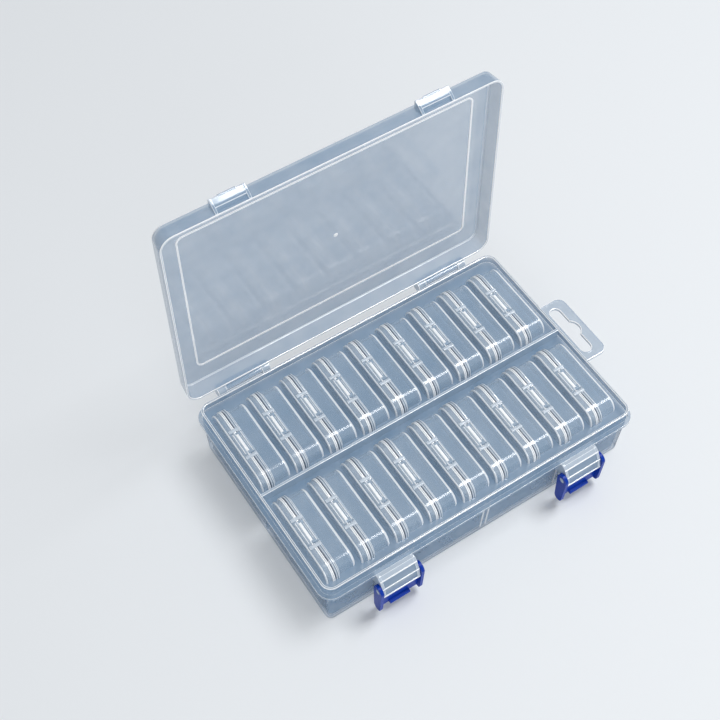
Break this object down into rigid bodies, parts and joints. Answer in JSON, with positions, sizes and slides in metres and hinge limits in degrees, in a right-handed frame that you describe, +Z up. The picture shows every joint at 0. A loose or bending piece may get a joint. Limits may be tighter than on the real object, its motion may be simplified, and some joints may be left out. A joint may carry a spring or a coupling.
{
  "type": "bead organizer case",
  "caption": "Clear hinged case with blue side latches and a hang tab, holding two rows of small lidded boxes that stand on edge and lift out.",
  "frame": {"origin": "centre of the case's flat underside", "axes": "+Z up out of the tray, +Y towards the lid hinges, +X towards the hang tab"},
  "size_m": [0.2107, 0.1568, 0.1709],
  "materials": {
    "case_plastic": "clear moulded polypropylene, slightly milky",
    "box_plastic": "clear moulded polypropylene, thin and bright at its edges",
    "latch_plastic": "blue moulded polypropylene"
  },
  "bodies": {
    "case_base": {"case_base": "case_plastic"},
    "case_lid": {"case_lid": "case_plastic"},
    "latch_left": {"latch_left": "latch_plastic"},
    "latch_right": {"latch_right": "latch_plastic"},
    "box_front_1": {"box_front_1_tub": "box_plastic", "box_front_1_lid": "box_plastic"},
    "box_front_2": {"box_front_2_tub": "box_plastic", "box_front_2_lid": "box_plastic"},
    "box_front_3": {"box_front_3_tub": "box_plastic", "box_front_3_lid": "box_plastic"},
    "box_front_4": {"box_front_4_tub": "box_plastic", "box_front_4_lid": "box_plastic"},
    "box_front_5": {"box_front_5_tub": "box_plastic", "box_front_5_lid": "box_plastic"},
    "box_front_6": {"box_front_6_tub": "box_plastic", "box_front_6_lid": "box_plastic"},
    "box_front_7": {"box_front_7_tub": "box_plastic", "box_front_7_lid": "box_plastic"},
    "box_front_8": {"box_front_8_tub": "box_plastic", "box_front_8_lid": "box_plastic"},
    "box_front_9": {"box_front_9_tub": "box_plastic", "box_front_9_lid": "box_plastic"},
    "box_rear_1": {"box_rear_1_tub": "box_plastic", "box_rear_1_lid": "box_plastic"},
    "box_rear_2": {"box_rear_2_tub": "box_plastic", "box_rear_2_lid": "box_plastic"},
    "box_rear_3": {"box_rear_3_tub": "box_plastic", "box_rear_3_lid": "box_plastic"},
    "box_rear_4": {"box_rear_4_tub": "box_plastic", "box_rear_4_lid": "box_plastic"},
    "box_rear_5": {"box_rear_5_tub": "box_plastic", "box_rear_5_lid": "box_plastic"},
    "box_rear_6": {"box_rear_6_tub": "box_plastic", "box_rear_6_lid": "box_plastic"},
    "box_rear_7": {"box_rear_7_tub": "box_plastic", "box_rear_7_lid": "box_plastic"},
    "box_rear_8": {"box_rear_8_tub": "box_plastic", "box_rear_8_lid": "box_plastic"},
    "box_rear_9": {"box_rear_9_tub": "box_plastic", "box_rear_9_lid": "box_plastic"}
  },
  "joints": [
    {"name": "lid_hinge", "type": "hinge", "parent": "case_base", "child": "case_lid", "pos_m": [0, 0.06875, 0.03255], "axis": [-1, 0, 0], "range_deg": [-91.6, 0]},
    {"name": "latch_left_pivot", "type": "hinge", "parent": "case_base", "child": "latch_left", "pos_m": [-0.0575, -0.07045, 0.02355], "axis": [1, 0, 0], "range_deg": [-180, 10]},
    {"name": "latch_right_pivot", "type": "hinge", "parent": "case_base", "child": "latch_right", "pos_m": [0.0575, -0.07045, 0.02355], "axis": [1, 0, 0], "range_deg": [-180, 10]},
    {"name": "box_front_1_lift", "type": "slide", "parent": "case_base", "child": "box_front_1", "axis": [0, 0, 1], "range_m": [0, 0.06]},
    {"name": "box_front_2_lift", "type": "slide", "parent": "case_base", "child": "box_front_2", "axis": [0, 0, 1], "range_m": [0, 0.06]},
    {"name": "box_front_3_lift", "type": "slide", "parent": "case_base", "child": "box_front_3", "axis": [0, 0, 1], "range_m": [0, 0.06]},
    {"name": "box_front_4_lift", "type": "slide", "parent": "case_base", "child": "box_front_4", "axis": [0, 0, 1], "range_m": [0, 0.06]},
    {"name": "box_front_5_lift", "type": "slide", "parent": "case_base", "child": "box_front_5", "axis": [0, 0, 1], "range_m": [0, 0.06]},
    {"name": "box_front_6_lift", "type": "slide", "parent": "case_base", "child": "box_front_6", "axis": [0, 0, 1], "range_m": [0, 0.06]},
    {"name": "box_front_7_lift", "type": "slide", "parent": "case_base", "child": "box_front_7", "axis": [0, 0, 1], "range_m": [0, 0.06]},
    {"name": "box_front_8_lift", "type": "slide", "parent": "case_base", "child": "box_front_8", "axis": [0, 0, 1], "range_m": [0, 0.06]},
    {"name": "box_front_9_lift", "type": "slide", "parent": "case_base", "child": "box_front_9", "axis": [0, 0, 1], "range_m": [0, 0.06]},
    {"name": "box_rear_1_lift", "type": "slide", "parent": "case_base", "child": "box_rear_1", "axis": [0, 0, 1], "range_m": [0, 0.06]},
    {"name": "box_rear_2_lift", "type": "slide", "parent": "case_base", "child": "box_rear_2", "axis": [0, 0, 1], "range_m": [0, 0.06]},
    {"name": "box_rear_3_lift", "type": "slide", "parent": "case_base", "child": "box_rear_3", "axis": [0, 0, 1], "range_m": [0, 0.06]},
    {"name": "box_rear_4_lift", "type": "slide", "parent": "case_base", "child": "box_rear_4", "axis": [0, 0, 1], "range_m": [0, 0.06]},
    {"name": "box_rear_5_lift", "type": "slide", "parent": "case_base", "child": "box_rear_5", "axis": [0, 0, 1], "range_m": [0, 0.06]},
    {"name": "box_rear_6_lift", "type": "slide", "parent": "case_base", "child": "box_rear_6", "axis": [0, 0, 1], "range_m": [0, 0.06]},
    {"name": "box_rear_7_lift", "type": "slide", "parent": "case_base", "child": "box_rear_7", "axis": [0, 0, 1], "range_m": [0, 0.06]},
    {"name": "box_rear_8_lift", "type": "slide", "parent": "case_base", "child": "box_rear_8", "axis": [0, 0, 1], "range_m": [0, 0.06]},
    {"name": "box_rear_9_lift", "type": "slide", "parent": "case_base", "child": "box_rear_9", "axis": [0, 0, 1], "range_m": [0, 0.06]}
  ]
}
